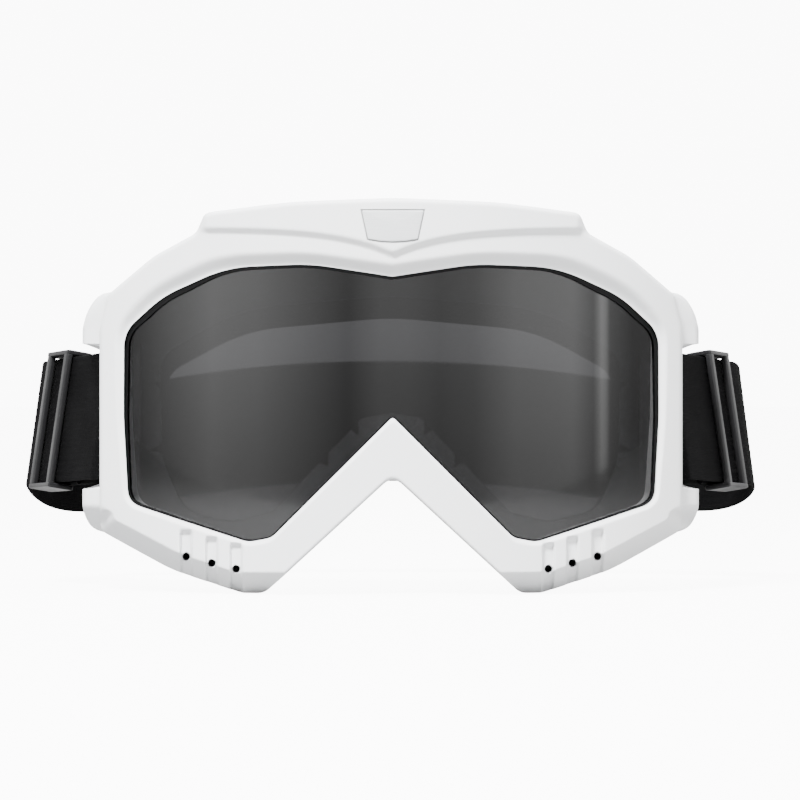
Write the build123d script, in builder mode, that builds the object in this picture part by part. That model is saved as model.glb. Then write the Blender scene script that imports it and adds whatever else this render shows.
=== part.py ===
# Motorcycle goggles: a white moulded frame round a smoke-grey cylindrical lens, a plain badge on the
# brow, a three-layer face foam, and an elastic strap with two sliders.
# Millimetres. +X is to the right of someone who looks at the lens, -Y is the way the lens faces, and
# +Z is up. X = 0 is the goggles' middle, and Z = 0 is the table under the two lower lobes of the frame.
import math
import os

from build123d import *

os.makedirs("parts", exist_ok=True)

# Overall sizes
frame_half_width = 84.5
frame_height = 112.4
strap_back_y = 89.0
front_y = -88.0

# The front of the frame is part of a cylinder about a vertical axis, and so is the face side.
front_radius = 120.0
face_radius = 125.0
frame_depth = 34.0
face_y = front_y + frame_depth

# Walls of the frame
side_bar = 7.2
front_plate = 9.0
outer_wall = 2.5
flange_thickness = 2.5
brow_panel_rise = 1.5
bevel_height = 5.0
bevel_depth = 9.0

# The lens sits in a groove of the frame, behind a black seal.
lens_thickness = 1.6
seal_thickness = 0.8
lip_thickness = 3.2
lens_overlap = 3.0
seal_show = 0.7
groove_gap = 0.1

# Face foam, from the frame to the skin
firm_foam = 7.0
soft_foam = 5.0
fleece = 1.0
vent_foam = 3.0

# Badge
badge_top_width = 17.5
badge_bottom_width = 14.0
badge_top = frame_height - 3.6
badge_bottom = frame_height - 11.7
badge_bulge = 0.7
badge_thickness = 1.8
badge_proud = 0.5
badge_gap = 0.2

# Air scoops and vent holes in the lower lobes
scoop_width = 3.4
scoop_depth = 1.2
scoop_spots = ((44.5, 15.0), (51.5, 16.7), (58.9, 18.6))
vent_hole_radius = 0.95
vent_hole_height = 7.0
vent_hole_rise = 0.235

# Slits in the face flange
nose_slits = ((10.8, 43.4), (19.8, 34.6))
nose_slit_length = 8.0
side_slits = (41.0, 59.4)
slit_width = 1.4

# Strap webbing and the post it loops round
web_width = 38.0
web_thickness = 1.4
post_radius = 2.0
post_gap = 0.2
post_x = 82.4
post_y = -33.0
post_z = 50.2
post_lean_in = math.radians(8.0)
post_lean_back = math.radians(6.0)
run_heading = math.radians(22.0)
run_length = 56.0
bay_clearance = 1.6
bay_wall_x = 75.0
bay_y = -41.0
lug_depth = 22.0
lug_reach = 5.3
lug_setback = 3.0

# The loop behind the sliders: how far it swings out on each side, where its upright back part begins, and
# how far the sides sag between the frame and the back
right_swing = 28.0
left_swing = 7.0
back_swing = 104.0
level_from = 0.62
back_height = 48.5
loop_sag = 9.0

# Slider
slider_length = 18.0
slider_bar = 3.2
slider_centre_bar = 3.6
slider_thickness = 2.0
centre_bar_thickness = 1.6
slider_end = 1.5
slider_gap = 0.3
slider_at = 38.0
fold_length = 15.0
tack_height = 30.0
tack_thickness = 0.5

far = 400.0


# A curved surface is its Y on the middle line and its radius about a vertical axis.
def front_surface(depth):
    return front_y + depth, front_radius - depth


def face_surface(depth):
    return face_y + depth, face_radius - depth


# A point on the front of the frame, or that far behind it
def on_front(x, z, depth=0.0):
    return Vector(x, front_y + front_radius + depth - math.sqrt(front_radius**2 - x**2), z)


# The space between two curved surfaces, as tall as anything here
def curved_slab(near, back):
    with BuildPart() as slab:
        with BuildSketch(Plane.XY.offset(-far / 4)):
            with Locations((0, near[0] + near[1])):
                Circle(near[1])
            with Locations((0, back[0] + back[1])):
                Circle(back[1], mode=Mode.SUBTRACT)
        extrude(amount=far)
    return slab.part


# Both halves of a corner list, from the +X half: each corner is x, z and its rounding radius.
def both_halves(corners):
    mirrored = [(-x, z, radius) for x, z, radius in reversed(corners) if x > 0]
    return corners + mirrored


def rounded_outline(corners, wider=0.0):
    whole = both_halves(corners)
    points = [(x, z) for x, z, radius in whole]
    with BuildSketch(Plane.XZ.offset(-front_y)) as outline:
        with BuildLine():
            FilletPolyline(*points, radius=[radius for x, z, radius in whole], close=True)
        make_face()
        if wider:
            offset(amount=wider)
    return outline.sketch


# A block that runs back along Y from in front of the frame to behind the foam
def swept_back(outline):
    with BuildPart() as block:
        extrude(outline, amount=10)
        extrude(outline, amount=-90)
    return block.part


web_half = web_width / 2
bay_half = web_half + bay_clearance
window_side = frame_half_width - side_bar
opening_side = window_side - 10.8
body_corners = [
    (0, frame_height, 150),
    (30, frame_height - 1.1, 150),
    (53.5, frame_height - 3.8, 3),
    (56, frame_height - 9.5, 4),
    (68.5, frame_height - 16, 25),
    (frame_half_width - 2.5, frame_height - 26.8, 4),
    (frame_half_width, frame_height - 36.4, 8),
    (frame_half_width, 17.2, 3),
    (63, 6.2, 50),
    (43, 0, 8),
    (36.6, 0, 5),
    (0, 33.8, 4),
]
window_corners = [
    (0, frame_height - 22.2, 1.0),
    (23.5, frame_height - 18.6, 60),
    (47.3, frame_height - 19.4, 40),
    (window_side - 11.5, frame_height - 27.5, 30),
    (window_side - 0.1, frame_height - 37.5, 10),
    (window_side, 50, 100),
    (window_side - 1.4, 25.6, 5.5),
    (55.4, 19.2, 60),
    (41, 14.7, 8),
    (34.4, 16.0, 5),
    (0, 50.4, 1.0),
]
opening_top = [
    (0, frame_height - 33.2, 80),
    (42, frame_height - 36.9, 50),
    (opening_side - 1, frame_height - 49.4, 9),
]
flange_top = [
    (0, frame_height - 27.1, 80),
    (44, frame_height - 30.9, 50),
    (opening_side + 0.5, frame_height - 44.4, 8),
]
opening_bottom = [
    (opening_side, 38, 15),
    (opening_side - 6.5, 22.5, 10),
    (46, 19.6, 8),
    (34.5, 22.5, 6),
    (8.5, 50, 4),
    (0, 51.4, 3),
]
foam_corners = [
    (0, frame_height - 8.4, 100),
    (46, frame_height - 10.9, 30),
    (bay_wall_x - 9, frame_height - 20.9, 20),
    (bay_wall_x - 0.5, frame_height - 33.4, 10),
    (bay_wall_x - 0.5, 24, 10),
    (60, 12.5, 30),
    (43.5, 7, 7),
    (36.5, 7.4, 5),
    (0, 41.8, 4),
]

window_outline = rounded_outline(window_corners)
lens_outline = rounded_outline(window_corners, lens_overlap)
chamber_outline = rounded_outline(body_corners, -outer_wall)
opening_outline = rounded_outline(opening_top + opening_bottom)
groove_back = lip_thickness + seal_thickness + lens_thickness + groove_gap

# Hollow between the front plate and the face flange, with a wall left beside each strap bay
with BuildPart() as chamber:
    add(swept_back(chamber_outline))
    add(curved_slab(front_surface(front_plate), face_surface(10)), mode=Mode.INTERSECT)
    for side in (1, -1):
        with Locations((side * (bay_wall_x + 10 - outer_wall), 0, post_z)):
            Box(20, far, 2 * (bay_half + outer_wall), mode=Mode.SUBTRACT)

# Groove for the lens and its seal
with BuildPart() as groove:
    add(swept_back(rounded_outline(window_corners, lens_overlap + groove_gap)))
    add(curved_slab(front_surface(lip_thickness), front_surface(groove_back)), mode=Mode.INTERSECT)

# Window through the front plate
with BuildPart() as window:
    add(swept_back(window_outline))
    add(curved_slab(front_surface(-10), front_surface(front_plate)), mode=Mode.INTERSECT)

# Three air scoops in the front of each lobe, with a vent hole at the foot of each
with BuildPart() as scoops:
    with BuildSketch(Plane.XZ.offset(-front_y + 10)):
        for x, top in scoop_spots:
            for side in (1, -1):
                with Locations((side * x, top - 9)):
                    SlotOverall(20, scoop_width, rotation=90)
    extrude(amount=-70)
    add(curved_slab(front_surface(-5), front_surface(scoop_depth)), mode=Mode.INTERSECT)
    with BuildSketch(Plane.XZ.offset(-front_y + 10)):
        for x, top in scoop_spots:
            for side in (1, -1):
                lift = vent_hole_rise * (x - scoop_spots[0][0])
                with Locations((side * x, vent_hole_height + lift)):
                    Circle(vent_hole_radius)
    extrude(amount=-50)

# Raised panel across the brow
with BuildPart() as brow_panel:
    with BuildSketch(Plane.XZ.offset(-front_y + 10)):
        with BuildLine():
            drops = [(0, 16), (12, 12.6), (33, 9.4), (54, 8.8), (52.5, 4.4), (30, 2.1)]
            right_half = [(x, frame_height - drop) for x, drop in drops]
            left_half = [(-x, z) for x, z in reversed(right_half[1:])]
            Polyline(*right_half, (0, frame_height - 1), *left_half, close=True)
        make_face()
    extrude(amount=-60)
    add(curved_slab(front_surface(-brow_panel_rise), front_surface(2)), mode=Mode.INTERSECT)


# The badge's shape, grown by a gap for its pocket
def badge_block(gap, depth):
    with BuildPart() as block:
        with BuildSketch(Plane.XZ.offset(-front_y + 10)):
            with BuildLine():
                upper = badge_top_width / 2 + gap
                lower = badge_bottom_width / 2 + gap
                foot = badge_bottom - gap
                top = Line((-upper, badge_top + gap), (upper, badge_top + gap))
                right = Line(top @ 1, (lower, foot))
                low = ThreePointArc(right @ 1, (0, foot - badge_bulge), (-lower, foot))
                Line(low @ 1, top @ 0)
            make_face()
        extrude(amount=-30)
        face = -brow_panel_rise - badge_proud
        add(curved_slab(front_surface(face), front_surface(face + depth)), mode=Mode.INTERSECT)
    return block.part


# The local frame of one side's strap: along the run, and up the post. Outwards is -side on local Y.
def strap_plane(side):
    up = Vector(-side * math.sin(post_lean_in), math.sin(post_lean_back), 1).normalized()
    heading = Vector(side * math.sin(run_heading), math.cos(run_heading), 0)
    along = (heading - up * heading.dot(up)).normalized()
    return Plane((side * post_x, post_y, post_z), x_dir=along, z_dir=up)


# Strap posts, and the lugs above and below each strap bay, which stand out from the side as small wings
lug_side = frame_half_width + lug_reach
upper_foot = post_z + bay_half
lower_top = post_z - bay_half
upper_lug = [
    (frame_half_width - 7.5, upper_foot),
    (lug_side, upper_foot),
    (lug_side, upper_foot + 8.6),
    (lug_side - 3.9, upper_foot + 14.6),
    (frame_half_width - 7.5, upper_foot + 15.7),
]
lower_lug = [
    (frame_half_width - 7.5, lower_top),
    (lug_side, lower_top),
    (lug_side, lower_top - 8.0),
    (lug_side - 5.2, lower_top - 12.5),
    (frame_half_width - 7.5, lower_top - 15.1),
]
with BuildPart() as lugs:
    with BuildSketch(Plane.XZ.offset(-bay_y + 3)):
        for corners in (upper_lug, lower_lug):
            for side in (1, -1):
                with BuildLine():
                    Polyline(*[(side * x, z) for x, z in corners], close=True)
                make_face()
    extrude(amount=-lug_depth)
    for side in (1, -1):
        with Locations(strap_plane(side)):
            Cylinder(post_radius, web_width + 10)
    add(curved_slab(front_surface(lug_setback), face_surface(-flange_thickness)), mode=Mode.INTERSECT)

# Front frame: lens ring, outer wall, lugs and strap posts
with BuildPart() as front_frame:
    add(swept_back(rounded_outline(body_corners)))
    add(curved_slab(front_surface(0), face_surface(-flange_thickness)), mode=Mode.INTERSECT)
    for side in (1, -1):
        inner_end = on_front(side * 43, bevel_height + 1)
        outer_end = on_front(side * frame_half_width, bevel_height + 17.2)
        foot = on_front(side * 63, 6.2, bevel_depth)
        rim = outer_end - inner_end
        slant = Plane(inner_end, x_dir=rim, z_dir=rim.cross(foot - inner_end) * -side)
        with Locations(slant):
            Box(200, 60, 20, align=(Align.CENTER, Align.CENTER, Align.MIN), mode=Mode.SUBTRACT)
    add(brow_panel.part)
    add(chamber.part, mode=Mode.SUBTRACT)
    add(window.part, mode=Mode.SUBTRACT)
    add(groove.part, mode=Mode.SUBTRACT)
    add(scoops.part, mode=Mode.SUBTRACT)
    add(badge_block(badge_gap, badge_thickness), mode=Mode.SUBTRACT)
    for side in (1, -1):
        with Locations((side * (bay_wall_x + 20), bay_y + 50, post_z)):
            Box(40, 100, 2 * bay_half, mode=Mode.SUBTRACT)
    add(lugs.part)

front_frame.part.label = "front_frame"
export_step(front_frame.part, "parts/front_frame.step")

# Face flange: carries the foam, with slits that leave soft tabs at the nose and beside the eyes
with BuildPart() as face_flange:
    add(swept_back(rounded_outline(body_corners)))
    add(curved_slab(face_surface(-flange_thickness), face_surface(0)), mode=Mode.INTERSECT)
    extrude(rounded_outline(flange_top + opening_bottom), amount=-90, mode=Mode.SUBTRACT)
    for side in (1, -1):
        with Locations((side * (bay_wall_x + 20), 0, post_z)):
            Box(40, far, 2 * bay_half, mode=Mode.SUBTRACT)
    with BuildSketch(Plane.XZ):
        for x, z in nose_slits:
            for side in (1, -1):
                with Locations((side * x, z)):
                    Rectangle(nose_slit_length, slit_width, rotation=side * 45)
        for z in side_slits:
            for side in (1, -1):
                with Locations((side * (opening_side + 1.5), z)):
                    Rectangle(8, slit_width)
    extrude(amount=far, both=True, mode=Mode.SUBTRACT)

face_flange.part.label = "face_flange"
export_step(face_flange.part, "parts/face_flange.step")

# Lens
with BuildPart() as lens:
    add(swept_back(lens_outline))
    add(
        curved_slab(
            front_surface(lip_thickness + seal_thickness),
            front_surface(lip_thickness + seal_thickness + lens_thickness),
        ),
        mode=Mode.INTERSECT,
    )

lens.part.label = "lens"
export_step(lens.part, "parts/lens.step")

# Seal between the frame's lip and the lens; its inner edge shows as a black line round the lens
with BuildPart() as lens_seal:
    add(swept_back(lens_outline))
    add(
        curved_slab(front_surface(lip_thickness), front_surface(lip_thickness + seal_thickness)),
        mode=Mode.INTERSECT,
    )
    add(swept_back(rounded_outline(window_corners, -seal_show)), mode=Mode.SUBTRACT)

lens_seal.part.label = "lens_seal"
export_step(lens_seal.part, "parts/lens_seal.step")

# Badge: a plain plate let into the brow
with BuildPart() as badge:
    add(badge_block(0, badge_thickness))

badge.part.label = "badge"
export_step(badge.part, "parts/badge.step")

# Face foam in three layers
foam_layers = (
    ("foam_firm", 0, firm_foam),
    ("foam_soft", firm_foam, firm_foam + soft_foam),
    ("face_fleece", firm_foam + soft_foam, firm_foam + soft_foam + fleece),
)
for name, near, back in foam_layers:
    with BuildPart() as layer:
        add(swept_back(rounded_outline(foam_corners)))
        add(curved_slab(face_surface(near), face_surface(back)), mode=Mode.INTERSECT)
        extrude(opening_outline, amount=-110, mode=Mode.SUBTRACT)

    layer.part.label = name
    export_step(layer.part, f"parts/{name}.step")

# Foam strip under the top wall and a foam pad behind each row of vent holes
with BuildPart() as brow_vent_foam:
    with BuildSketch(Plane.XZ.offset(-front_y)):
        with BuildLine():
            top = [(x, frame_height - drop) for x, drop in ((-48, 7.2), (-28, 4.8), (28, 4.8), (48, 7.2))]
            low = [(x, z - vent_foam) for x, z in reversed(top)]
            Polyline(*top, *low, close=True)
        make_face()
    extrude(amount=-90)
    add(curved_slab(front_surface(front_plate), face_surface(-flange_thickness)), mode=Mode.INTERSECT)

brow_vent_foam.part.label = "brow_vent_foam"
export_step(brow_vent_foam.part, "parts/brow_vent_foam.step")

for side, name in ((1, "right"), (-1, "left")):
    with BuildPart() as chin_vent_foam:
        with BuildSketch(Plane.XZ.offset(-front_y)):
            with BuildLine():
                pad = [(43, 3.2), (66, 12.2), (66, 18.2), (43, 9.8)]
                Polyline(*[(side * x, z) for x, z in pad], close=True)
            make_face()
        extrude(amount=-90)
        add(
            curved_slab(front_surface(front_plate), front_surface(front_plate + vent_foam)),
            mode=Mode.INTERSECT,
        )

    chin_vent_foam.part.label = f"chin_vent_foam_{name}"
    export_step(chin_vent_foam.part, f"parts/chin_vent_foam_{name}.step")

inner_face = post_radius + post_gap
outer_face = inner_face + web_thickness
bar_half = slider_centre_bar / 2
for side, name in ((1, "right"), (-1, "left")):
    plane = strap_plane(side)
    out = -side

    # Outer run: round the post and straight back through the slider
    with BuildPart() as strap_run:
        with BuildSketch(plane.offset(-web_half)):
            with BuildLine():
                outside = Line((run_length, out * outer_face), (0, out * outer_face))
                turn = ThreePointArc(outside @ 1, (-outer_face, 0), (0, -out * outer_face))
                end = Line(turn @ 1, (0, -out * inner_face))
                back = ThreePointArc(end @ 1, (-inner_face, 0), (0, out * inner_face))
                inside = Line(back @ 1, (run_length, out * inner_face))
                Line(inside @ 1, outside @ 0)
            make_face()
        extrude(amount=web_width)

    strap_run.part.label = f"strap_run_{name}"
    export_step(strap_run.part, f"parts/strap_run_{name}.step")

    # Inner run: from the post to the slider's centre bar, round it and folded back on itself
    bar_top = -inner_face + slider_gap / 3 + centre_bar_thickness
    with BuildPart() as strap_return:
        with BuildSketch(plane.offset(-web_half)):
            with BuildLine():
                wrap_x = slider_at + bar_half + slider_gap / 3
                fold_out = bar_top + slider_gap / 3
                flat = Line((0, -out * outer_face), (wrap_x, -out * outer_face))
                over_y = fold_out + web_thickness
                round_bar = ThreePointArc(
                    flat @ 1,
                    (wrap_x + (over_y + outer_face) / 2, out * (over_y - outer_face) / 2),
                    (wrap_x, out * over_y),
                )
                over = Line(round_bar @ 1, (slider_at - bar_half, out * over_y))
                slope = Line(over @ 1, (slider_at - bar_half - 5, out * (web_thickness - inner_face)))
                flap = Line(slope @ 1, (slider_at - fold_length, out * (web_thickness - inner_face)))
                flap_end = Line(flap @ 1, (slider_at - fold_length, -out * inner_face))
                under = Line(flap_end @ 1, (0, -out * inner_face))
                Line(under @ 1, flat @ 0)
            make_face()
            with BuildLine():
                hole_front = slider_at - bar_half - slider_gap / 3
                low = Line((hole_front, -out * inner_face), (wrap_x, -out * inner_face))
                bend = ThreePointArc(
                    low @ 1,
                    (wrap_x + (fold_out + inner_face) / 2, out * (fold_out - inner_face) / 2),
                    (wrap_x, out * fold_out),
                )
                high = Line(bend @ 1, (hole_front, out * fold_out))
                Line(high @ 1, low @ 0)
            make_face(mode=Mode.SUBTRACT)
        extrude(amount=web_width)

    strap_return.part.label = f"strap_return_{name}"
    export_step(strap_return.part, f"parts/strap_return_{name}.step")

    # Box of stitches through the folded end
    with BuildPart() as strap_tack:
        with BuildSketch(plane.offset(-tack_height / 2)):
            with Locations((slider_at - fold_length + 4, -out * (outer_face + tack_thickness / 2))):
                Rectangle(5, tack_thickness)
        extrude(amount=tack_height)

    strap_tack.part.label = f"strap_tack_{name}"
    export_step(strap_tack.part, f"parts/strap_tack_{name}.step")

    # Slider: two end plates, two outer bars that the run passes under and a centre bar that it passes over
    low_side = -inner_face + slider_gap / 3
    high_side = outer_face + slider_gap + slider_thickness
    slot_height = web_width + 2 * slider_gap
    with BuildPart() as slider:
        with BuildSketch(plane.offset(-slot_height / 2 - slider_end)):
            with Locations((slider_at, out * (low_side + high_side) / 2)):
                RectangleRounded(slider_length, high_side - low_side, 2.5)
        extrude(amount=slot_height + 2 * slider_end)
        with BuildSketch(plane.offset(-slot_height / 2)):
            with Locations((slider_at, out * (low_side + high_side) / 2)):
                Rectangle(slider_length + 2, high_side - low_side + 2)
        extrude(amount=slot_height, mode=Mode.SUBTRACT)
        with BuildSketch(plane.offset(-slot_height / 2)):
            for shift in (-1, 1):
                spot = slider_at + shift * (slider_length - slider_bar) / 2
                with Locations((spot, out * (high_side - slider_thickness / 2))):
                    RectangleRounded(slider_bar, slider_thickness, 0.7)
            with Locations((slider_at, out * (low_side + bar_top) / 2)):
                Rectangle(slider_centre_bar, bar_top - low_side)
        extrude(amount=slot_height)

    slider.part.label = f"slider_{name}"
    export_step(slider.part, f"parts/slider_{name}.step")


# One cross-section of the strap loop, part of the way from the end of a side's run to the back middle.
# Its height falls by the sag and comes back to the height of the loop's back.
def loop_section(side, swing, part_way):
    plane = strap_plane(side)
    middle = (inner_face + outer_face) / 2
    start = plane.origin + plane.x_dir * run_length - plane.y_dir * side * middle
    first = start + plane.x_dir * swing
    second = Vector(side * back_swing, strap_back_y, back_height)
    end = Vector(0, strap_back_y, back_height)
    left = 1 - part_way
    near_part = start * left**3 + first * 3 * left**2 * part_way
    far_part = second * 3 * left * part_way**2 + end * part_way**3
    spot = near_part + far_part
    turning = (second - first) * 2 * left * part_way
    heading = (first - start) * left**2 + turning + (end - second) * part_way**2
    settle = min(part_way / level_from, 1)
    settle = settle * settle * (3 - 2 * settle)
    sag = loop_sag * math.sin(math.pi * part_way) ** 2
    height = start.Z * (1 - settle) + back_height * settle - sag
    upright = plane.z_dir * (1 - settle) + Vector(0, 0, 1) * settle
    across = heading.cross(upright).normalized()
    across = Vector(across.X, across.Y, across.Z * (1 - settle)).normalized()
    return Plane((spot.X, spot.Y, height), x_dir=upright, z_dir=upright.cross(across) * side)


def web_sections(stations):
    faces = []
    for section in stations:
        with BuildSketch(section) as cut:
            Rectangle(web_width, web_thickness)
        faces.append(cut.sketch)
    return faces


side_steps = 7
for side, name, swing in ((1, "right", right_swing), (-1, "left", left_swing)):
    with BuildPart() as strap_side:
        shares = [level_from * step / (side_steps - 1) for step in range(side_steps)]
        loft(web_sections([loop_section(side, swing, share) for share in shares]))

    strap_side.part.label = f"strap_side_{name}"
    export_step(strap_side.part, f"parts/strap_side_{name}.step")

# Back of the loop
back_steps = 5
with BuildPart() as strap_rear:
    shares = [level_from + (1 - level_from) * step / back_steps for step in range(back_steps + 1)]
    right_half = [loop_section(1, right_swing, share) for share in shares]
    left_half = [loop_section(-1, left_swing, share) for share in reversed(shares[:-1])]
    left_half = [Plane(p.origin, x_dir=p.x_dir, z_dir=p.z_dir * -1) for p in left_half]
    loft(web_sections(right_half + left_half))

strap_rear.part.label = "strap_rear"
export_step(strap_rear.part, "parts/strap_rear.step")
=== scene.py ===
import math

import bpy
import numpy as np
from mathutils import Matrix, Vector


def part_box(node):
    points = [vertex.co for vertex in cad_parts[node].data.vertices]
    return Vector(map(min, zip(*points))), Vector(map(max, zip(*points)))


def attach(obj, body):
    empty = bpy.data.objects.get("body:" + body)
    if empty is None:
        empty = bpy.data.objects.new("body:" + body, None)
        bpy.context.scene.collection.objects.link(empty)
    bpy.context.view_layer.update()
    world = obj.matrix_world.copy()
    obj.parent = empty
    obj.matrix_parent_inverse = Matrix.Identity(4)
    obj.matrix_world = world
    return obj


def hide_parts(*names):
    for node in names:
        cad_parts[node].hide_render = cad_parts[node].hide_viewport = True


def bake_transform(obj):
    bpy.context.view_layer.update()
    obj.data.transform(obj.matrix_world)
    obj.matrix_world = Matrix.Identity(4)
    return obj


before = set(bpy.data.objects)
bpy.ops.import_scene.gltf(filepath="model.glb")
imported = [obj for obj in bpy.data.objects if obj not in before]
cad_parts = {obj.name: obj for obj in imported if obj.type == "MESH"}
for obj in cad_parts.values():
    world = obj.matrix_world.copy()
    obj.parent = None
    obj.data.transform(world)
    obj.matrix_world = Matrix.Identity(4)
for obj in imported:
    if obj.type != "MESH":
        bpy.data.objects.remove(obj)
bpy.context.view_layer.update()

mm = 0.001
sides = {"right": 1, "left": -1}
print("frame loaded:", len(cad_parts), "nodes")


# A grid of points, rows by cols, becomes four-sided faces; a wrapped way joins its last line to its first.
def gridQuads(rows, cols, wrapRows, wrapCols, first=0):
    i, j = np.meshgrid(
        np.arange(rows if wrapRows else rows - 1),
        np.arange(cols if wrapCols else cols - 1),
        indexing="ij",
    )
    a = i * cols + j
    b = ((i + 1) % rows) * cols + j
    c = ((i + 1) % rows) * cols + (j + 1) % cols
    d = i * cols + (j + 1) % cols
    return np.stack((a, b, c, d), axis=-1).reshape(-1, 4) + first


# Six times the enclosed volume is the sum over triangles of p . (q x r); it is below zero inside out.
def enclosedVolume(points, quads, tris):
    corners = [tris] if len(tris) else []
    if len(quads):
        corners += [quads[:, [0, 1, 2]], quads[:, [0, 2, 3]]]
    triangles = np.concatenate(corners)
    p, q, r = (points[triangles[:, k]] for k in range(3))
    return float((p * np.cross(q, r)).sum() / 6)


# A piece from one or more closed parts, each a (points, quads, tris, uv) of its own
def makePiece(name, *parts, marks=None, sharp=35):
    allPoints, allQuads, allTris, allUv = [], [], [], []
    first = 0
    for points, quads, tris, uv in parts:
        if enclosedVolume(points, quads, tris) < 0:
            quads, tris = quads[:, ::-1], tris[:, ::-1]
        allPoints.append(points)
        allQuads.append(quads + first)
        allTris.append(tris + first)
        allUv.append(uv if uv is not None else np.zeros((len(points), 2)))
        first += len(points)
    points, quads, tris = np.concatenate(allPoints), np.concatenate(allQuads), np.concatenate(allTris)
    loops = np.concatenate((quads.ravel(), tris.ravel())).astype(np.int32)
    starts = np.concatenate((np.arange(len(quads)) * 4, len(quads) * 4 + np.arange(len(tris)) * 3))
    mesh = bpy.data.meshes.new(name)
    mesh.vertices.add(len(points))
    mesh.vertices.foreach_set("co", points.astype(np.float32).ravel())
    mesh.loops.add(len(loops))
    mesh.loops.foreach_set("vertex_index", loops)
    mesh.polygons.add(len(starts))
    mesh.polygons.foreach_set("loop_start", starts.astype(np.int32))
    mesh.update(calc_edges=True)
    mesh.polygons.foreach_set("use_smooth", np.ones(len(starts), bool))
    mesh.set_sharp_from_angle(angle=math.radians(sharp))
    layer = mesh.uv_layers.new(name="along")
    layer.data.foreach_set("uv", np.concatenate(allUv)[loops].astype(np.float32).ravel())
    for label, values in (marks or {}).items():
        attribute = mesh.attributes.new(label, "FLOAT", "POINT")
        attribute.data.foreach_set("value", np.asarray(values, np.float32).ravel())
    piece = bpy.data.objects.new(name, mesh)
    bpy.context.scene.collection.objects.link(piece)
    return piece


# A closed profile carried round a closed ring: sections is rows x profile points x 3.
def ringPart(sections, uv=None):
    rows, cols = sections.shape[:2]
    uv = None if uv is None else np.asarray(uv).reshape(-1, 2)
    return sections.reshape(-1, 3), gridQuads(rows, cols, True, True), np.zeros((0, 3), int), uv


# A closed profile carried along an open path, with a fan of triangles to the middle of each end
def tubePart(sections, uv=None):
    rows, cols = sections.shape[:2]
    points = np.concatenate((sections.reshape(-1, 3), sections[[0, -1]].mean(axis=1)))
    k = np.arange(cols)
    after = (k + 1) % cols
    headFan = np.stack((after, k, np.full(cols, rows * cols)), axis=-1)
    last = (rows - 1) * cols
    tailFan = np.stack((last + k, last + after, np.full(cols, rows * cols + 1)), axis=-1)
    if uv is not None:
        uv = np.concatenate((uv.reshape(-1, 2), uv[[0, -1]].mean(axis=1)))
    return points, gridQuads(rows, cols, False, True), np.concatenate((headFan, tailFan)), uv


# A closed profile of half sizes a and b whose corners are rounded: |x/a|^p + |y/b|^p = 1, by angle
def softRectangle(a, b, count=20, power=5.0):
    angle = np.linspace(0, 2 * math.pi, count, endpoint=False) + math.pi / count
    c, s = np.cos(angle), np.sin(angle)
    reach = (np.abs(c) ** power + np.abs(s) ** power) ** (-1 / power)
    return np.stack((a * c * reach, b * s * reach), axis=-1)


def smooth(t):  # 0 to 1 with level ends: 3t^2 - 2t^3
    t = np.clip(t, 0, 1)
    return t * t * (3 - 2 * t)


def unit(v):
    return v / np.maximum(np.linalg.norm(v, axis=-1, keepdims=True), 1e-12)


# A polygon with rounded corners: each corner becomes the curve (1-t)^2 a + 2t(1-t) c + t^2 b between its
# two tangent points, which lie radius x tan(turn / 2) from it. Corners are x, z, radius in mm.
def roundedPath(corners, closed=True, steps=14):
    spots = np.array([(x, z) for x, z, radius in corners], float)
    parts = []
    count = len(spots)
    for k, (x, z, radius) in enumerate(corners):
        if not closed and k in (0, count - 1):
            parts.append(spots[k][None])
            continue
        here, before, after = spots[k], spots[k - 1], spots[(k + 1) % count]
        back, ahead = before - here, after - here
        lengthBack, lengthAhead = np.linalg.norm(back), np.linalg.norm(ahead)
        back, ahead = back / lengthBack, ahead / lengthAhead
        turn = math.pi - math.acos(np.clip(back @ ahead, -1, 1))
        reach = min(radius * math.tan(turn / 2), 0.48 * lengthBack, 0.48 * lengthAhead)
        t = np.linspace(0, 1, steps)[:, None]
        first, last = here + back * reach, here + ahead * reach
        parts.append((1 - t) ** 2 * first + 2 * t * (1 - t) * here + t * t * last)
    return np.concatenate(parts)


# The +X half of a mirrored outline, from the top middle to the nose, with samples shared out between
# anchors, so that the same sample number is at the same place on every outline.
def halfOutline(corners, anchors, counts):
    left = [(-x, z, radius) for x, z, radius in reversed(corners) if x > 0]
    loop = roundedPath(corners + left)
    path = loop[loop[:, 0] >= -1e-6]
    stride = np.concatenate(([0], np.cumsum(np.linalg.norm(np.diff(path, axis=0), axis=1))))
    fine = np.linspace(0, stride[-1], 6000)
    finePath = np.stack((np.interp(fine, stride, path[:, 0]), np.interp(fine, stride, path[:, 1])), axis=-1)
    spots = []
    lowest = 0
    for x, z in anchors:
        gap = np.hypot(finePath[lowest:, 0] - x, finePath[lowest:, 1] - z)
        lowest += int(np.argmin(gap))
        spots.append(fine[lowest])
    spots[0], spots[-1] = 0, fine[-1]
    steps = [np.linspace(spots[k], spots[k + 1], counts[k], endpoint=False) for k in range(len(counts))]
    at = np.concatenate(steps + [np.array([spots[-1]])])
    half = np.stack((np.interp(at, fine, finePath[:, 0]), np.interp(at, fine, finePath[:, 1])), axis=-1)
    half[0, 0] = half[-1, 0] = 0
    return half


# The whole closed outline from its +X half
def wholeOutline(half):
    mirrored = half[-2:0:-1] * (-1, 1)
    return np.concatenate((half, mirrored))


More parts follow.
